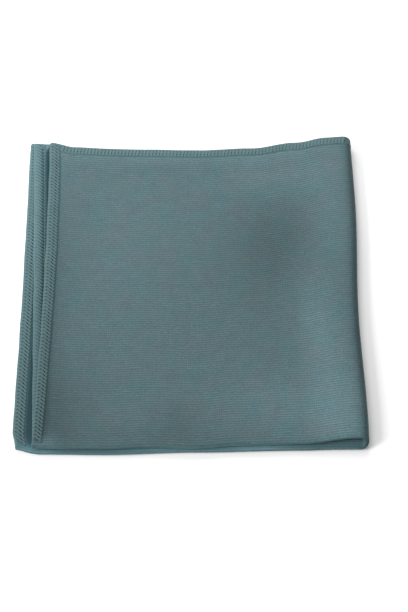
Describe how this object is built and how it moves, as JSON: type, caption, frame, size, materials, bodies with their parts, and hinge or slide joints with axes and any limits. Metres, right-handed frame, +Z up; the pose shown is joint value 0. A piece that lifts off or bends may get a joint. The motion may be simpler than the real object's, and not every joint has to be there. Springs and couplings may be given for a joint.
{
  "type": "microfibre cloth",
  "caption": "Square hemmed microfibre cloth lying flat, folded in quarters with its hems fanned out at the left and back.",
  "frame": {"origin": "middle of the underside of the folded cloth", "axes": "+X towards the right crease, +Y towards the back hems, +Z up"},
  "size_m": [0.2066, 0.2092, 0.0104],
  "materials": {
    "cloth": "matt blue-green microfibre with a short looped pile in fine ribs"
  },
  "bodies": {
    "root": {"cloth": "cloth"}
  },
  "joints": []
}
